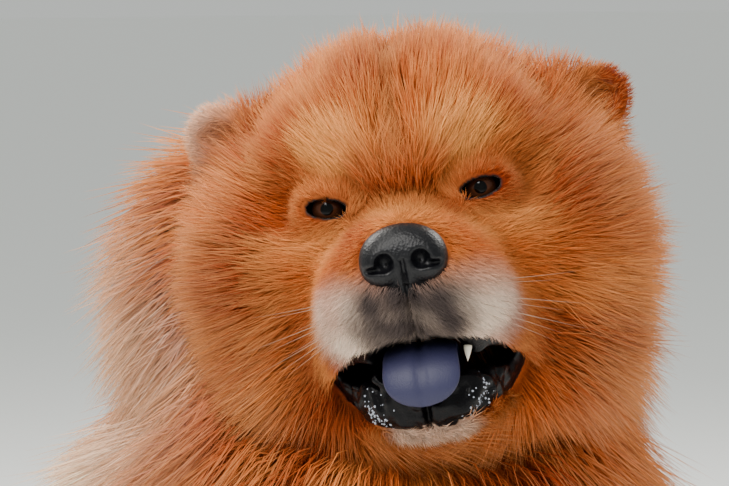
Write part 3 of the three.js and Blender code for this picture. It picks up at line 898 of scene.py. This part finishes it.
def hair_piece(name, base, middle, tip, out, width, colours, rng):
    """Three-sided hairs in one mesh, each widest at its middle and drawn to a point at both ends."""
    n = len(base)
    turn = rng.uniform(0, 2 * math.pi, n)
    ahead = unit(tip - base)
    side = unit(np.cross(ahead, out + 1e-3))
    up = np.cross(side, ahead)
    rings = [base]
    radial = [out]
    for angle in RING:
        spoke = side * np.cos(turn + angle)[:, None] + up * np.sin(turn + angle)[:, None]
        rings.append(middle + spoke * (width * 0.55)[:, None])
        radial.append(spoke)
    rings.append(tip)
    radial.append(unit(tip - middle))
    points = np.stack(rings, 1).reshape(-1, 3)
    first = (np.arange(n) * 5)[:, None]
    corners = []
    for k in (1, 2, 3):
        j = k % 3 + 1
        corners += [(0, k, j), (k, 4, j)]
    faces = np.concatenate([first + np.array([c]) for c in corners], 0)
    piece = mesh_piece(name, metres(points), faces, HAIR)
    per_point = np.stack([colours[0]] + [colours[1]] * 3 + [colours[2]], 1).reshape(-1, 3)
    colour_points(piece, per_point)
    normals = unit((np.stack(radial, 1) * 0.5 + out[:, None, :] * 0.75).reshape(-1, 3))
    piece.data.normals_split_custom_set_from_vertices(normals.astype(np.float32))
    spread = PATCH * np.array([(0, -0.5), (-0.4, 0), (0.4, 0), (0, 0.1), (0, 0.5)])
    point_uv = (unwrap(base, out)[:, None, :] + spread[None]).reshape(-1, 2)
    bake_map(piece, point_uv[faces.ravel()])


# Eyes.
def make_eyes():
    material = eye_material()
    for name in SIDES:
        bpy.ops.mesh.primitive_uv_sphere_add(segments=48, ring_count=32, radius=EYE_RADIUS / 1000)
        ball = bpy.context.object
        ball.name = f"eyeball_{name}"
        ball.data.polygons.foreach_set("use_smooth", [True] * len(ball.data.polygons))
        ball.data.materials.append(material)
        ball.matrix_world = Matrix.Translation(metres(EYES[name])) @ HEAD.to_3x3().to_4x4()
        bpy.context.view_layer.update()
        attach(ball, "root")
        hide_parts(f"eye_{name}")


# Nose.
NOSE_FORMS = [
    lump(HEAD, (0, -66, -26), (20, 12, 14), 0, 0, AWAY),
    lump(HEAD, (0, -64, -44), (7, 9, 9), 0, 0, AWAY),
] + both(lambda s: [lump(HEAD, (s * 12, -68, -32), (10, 11, 11), 0, 0, AWAY)])


def nose_distance(points):
    d = blended(NOSE_FORMS, points, 3.0)
    for s in (1, -1):
        d = soft_cut(d, ellipsoid(HEAD, (s * 9.5, -81, -31), (5.2, 9, 5.4), points), 2)
        d = soft_cut(d, ellipsoid(HEAD, (s * 16, -78, -34), (5.5, 4.6, 1.8), points), 1.5)
    q = local(HEAD, points)
    groove = np.exp(-((q[:, 0] / 1.3) ** 2)) * (q[:, 2] < -30)
    return d + 1.6 * groove


def make_nose():
    middle = placed(HEAD, [0, -66, -32])
    lines = [np.arange(m - 38, m + 38, 1.0) for m in middle]
    points, quads = surface_of(nose_distance, lines)
    points = settled(nose_distance, points, 1)
    mesh_piece("nose_pad", metres(points), quads, NOSE_LEATHER, ["nose"])


# The tongue lies on the lower jaw and laps over its lip.
TONGUE_LINE = [
    (0, 34, -96),
    (0, 4, -86),
    (0, -24, -79.5),
    (0, -43, -80),
    (0, -55, -87),
    (0, -61, -97),
    (0, -62, -107),
]


def spline(line, t):
    """A smooth line through points, at t from 0 to 1."""
    line = np.array(line, float)
    padded = np.vstack([2 * line[0] - line[1], line, 2 * line[-1] - line[-2]])
    x = t * (len(line) - 1)
    i = min(int(x), len(line) - 2)
    f = x - i
    a, b, c, d = padded[i : i + 4]
    return 0.5 * (
        2 * b + (c - a) * f + (2 * a - 5 * b + 4 * c - d) * f * f + (3 * b - a - 3 * c + d) * f**3
    )


def make_tongue():
    steps, around = 44, 40
    rings = []
    for i in range(steps + 1):
        t = i / steps
        rounding = math.sqrt(max(0.0, 1 - max(0.0, (t - 0.7) / 0.302) ** 2))
        width = (17 + 4.5 * t) * max(rounding, 0.03)
        thick = 4.4 * (0.3 + 0.7 * rounding) * max(rounding, 0.2)
        centre = spline(TONGUE_LINE, t)
        ahead = spline(TONGUE_LINE, min(1, t + 0.02)) - spline(TONGUE_LINE, max(0, t - 0.02))
        up = np.cross(ahead, [1, 0, 0])
        up /= np.linalg.norm(up)
        for k in range(around):
            angle = 2 * math.pi * k / around
            x = math.cos(angle) * width
            lift = math.sin(angle) * thick
            if lift > 0:
                lift -= 1.9 * math.exp(-((x / 2.4) ** 2)) * rounding
            rings.append(centre + np.array([x, 0, 0]) + up * lift)
    a = np.arange(steps)[:, None] * around + np.arange(around)
    b = np.arange(steps)[:, None] * around + (np.arange(around) + 1) % around
    faces = np.stack([a, b, b + around, a + around], -1).reshape(-1, 4)
    points = metres(placed(HEAD, rings))
    piece = mesh_piece("tongue_flesh", points, faces, TONGUE, ["tongue"])
    close_and_face_out(piece)


def close_and_face_out(piece):
    """Fills the open ends and turns the faces outwards."""
    made = bmesh.new()
    made.from_mesh(piece.data)
    bmesh.ops.holes_fill(made, edges=made.edges)
    bmesh.ops.recalc_face_normals(made, faces=made.faces)
    made.to_mesh(piece.data)
    made.free()


def cone(name, base, tip, radius, material, bend=(0, 0, 0)):
    """A tapered, slightly bent spike: a claw, tooth or whisker."""
    base, tip, bend = (np.array(v, float) for v in (base, tip, bend))
    ahead = tip - base
    side = np.cross(ahead, [0.3, 0.2, 0.9])
    side /= np.linalg.norm(side)
    up = np.cross(side, ahead / np.linalg.norm(ahead))
    rings = []
    steps, around = 8, 12
    for i in range(steps + 1):
        t = i / steps
        centre = base + ahead * t + bend * 4 * t * (1 - t)
        r = radius * max(1 - t**1.5, 0.03)
        for k in range(around):
            angle = 2 * math.pi * k / around
            rings.append(centre + (side * math.cos(angle) + up * math.sin(angle)) * r)
    a = np.arange(steps)[:, None] * around + np.arange(around)
    b = np.arange(steps)[:, None] * around + (np.arange(around) + 1) % around
    faces = np.stack([a, b, b + around, a + around], -1).reshape(-1, 4)
    piece = mesh_piece(name, metres(rings), faces, material)
    close_and_face_out(piece)
    return piece


def make_claws():
    for paw, (x, y) in enumerate(PAWS):
        for toe, across in enumerate(TOES):
            cx, cy, cz = toe_centre(x, y, across)
            cone(
                f"claw_{paw}_{toe}",
                (cx, cy - 14, cz - 3),
                (cx, cy - 25, 2.2),
                2.8,
                CLAW,
                (0, -2, 1.5),
            )


def make_teeth():
    base, tip = placed(HEAD, [(25, -44, -80), (24, -46, -88)])
    cone("upper_canine", base, tip, 2.3, TOOTH)


def make_whiskers():
    """Three rows of whiskers on each side of the muzzle, swept back and a little down."""
    rng = np.random.default_rng(17)
    for name, s in SIDES.items():
        for row in range(3):
            for k in range(3):
                across, ahead, up = 24 + 5 * row + 3 * k, -56 + 9 * k, -50 - 6 * row
                root = settled(skin_distance, placed(HEAD, [(s * across, ahead, up)]), 4)
                out = slope_of(skin_distance, root)[0]
                back = placed(HEAD, [(s * 0.5, 0.9, -0.3)])[0] - EYE_MID
                way = out + (0.7 + 0.2 * rng.random()) * back
                way /= np.linalg.norm(way)
                root = root[0] - out
                tip = root + way * (34 + 6 * k + 8 * rng.random())
                cone(f"whisker_{name}_{row}_{k}", root, tip, 0.2, WHISKER, -3.0 * out)


# Foam clings to the lower lip at two places.
FOAM_PLACES = ((-27, -40, -108), (25, -40, -106))


def make_foam():
    rng = np.random.default_rng(23)
    bpy.ops.mesh.primitive_ico_sphere_add(subdivisions=2, radius=1)
    bead = bpy.context.object
    ball = np.array([v.co for v in bead.data.vertices])
    sides = np.array([p.vertices for p in bead.data.polygons])
    bpy.data.objects.remove(bead)
    places = [np.array(place) + rng.normal(0, (5, 3, 4.5), (60, 3)) for place in FOAM_PLACES]
    middles = settled(skin_distance, placed(HEAD, np.concatenate(places)), 4)
    sizes = rng.uniform(0.25, 0.8, len(middles))
    points = (middles[:, None, :] + ball[None] * sizes[:, None, None]).reshape(-1, 3)
    faces = (np.arange(len(middles))[:, None, None] * len(ball) + sides[None]).reshape(-1, 3)
    mesh_piece("lip_foam", metres(points), faces, FOAM)


# Lights, floor and camera.
def area_light(name, azimuth, elevation, distance, size, power, target, colour=(1, 1, 1)):
    lamp = bpy.data.lights.new(name, "AREA")
    lamp.energy = power
    lamp.size = size
    lamp.color = colour
    piece = bpy.data.objects.new(name, lamp)
    bpy.context.scene.collection.objects.link(piece)
    a, e = math.radians(azimuth), math.radians(elevation)
    way = Vector((math.sin(a) * math.cos(e), -math.cos(a) * math.cos(e), math.sin(e)))
    piece.location = Vector(target) + way * distance
    piece.rotation_euler = way.to_track_quat("Z", "Y").to_euler()
    return piece


def make_stage():
    bpy.ops.mesh.primitive_plane_add(size=60)
    floor = bpy.context.object
    floor.name = "floor"
    m, _ = principled("floor_pale", (0.96, 0.97, 0.95), 0.9, 0.1)
    floor.data.materials.append(m)
    world = bpy.context.scene.world or bpy.data.worlds.new("world")
    bpy.context.scene.world = world
    world.use_nodes = True
    sky = world.node_tree.nodes["Background"]
    sky.inputs["Color"].default_value = (0.80, 0.83, 0.80, 1)
    sky.inputs["Strength"].default_value = 0.75
    face = metres(EYE_MID)
    area_light("key", -62, 50, 2.4, 1.4, 66, face, (1, 0.97, 0.92))
    area_light("fill", 20, 24, 2.6, 2.0, 18, face).visible_glossy = False
    area_light("spark", -48, 30, 1.9, 0.36, 11, face)
    area_light("rim_left", 110, 34, 2.0, 0.8, 42, face, (1, 0.96, 0.9))
    area_light("rim_right", -160, 38, 2.0, 0.8, 42, face, (1, 0.96, 0.9))


def make_camera():
    data = bpy.data.cameras.new("camera")
    data.sensor_width = SENSOR
    data.lens = SENSOR * CAMERA_DISTANCE * 1000 / (MM_PER_PIXEL * IMAGE[0])
    data.shift_x = (IMAGE[0] / 2 - EYES_PIXEL[0]) / IMAGE[0]
    data.shift_y = (EYES_PIXEL[1] - IMAGE[1] / 2) / IMAGE[0]
    camera = bpy.data.objects.new("camera", data)
    bpy.context.scene.collection.objects.link(camera)
    way = Vector(
        (
            math.sin(CAMERA_AZIMUTH) * math.cos(CAMERA_ELEVATION),
            -math.cos(CAMERA_AZIMUTH) * math.cos(CAMERA_ELEVATION),
            math.sin(CAMERA_ELEVATION),
        )
    )
    camera.location = Vector(metres(EYE_MID)) + way * CAMERA_DISTANCE
    camera.rotation_euler = way.to_track_quat("Z", "Y").to_euler()
    bpy.context.scene.camera = camera


make_coat(*make_skin())
make_eyes()
make_nose()
make_tongue()
make_teeth()
make_whiskers()
make_foam()
make_claws()
make_stage()
make_camera()
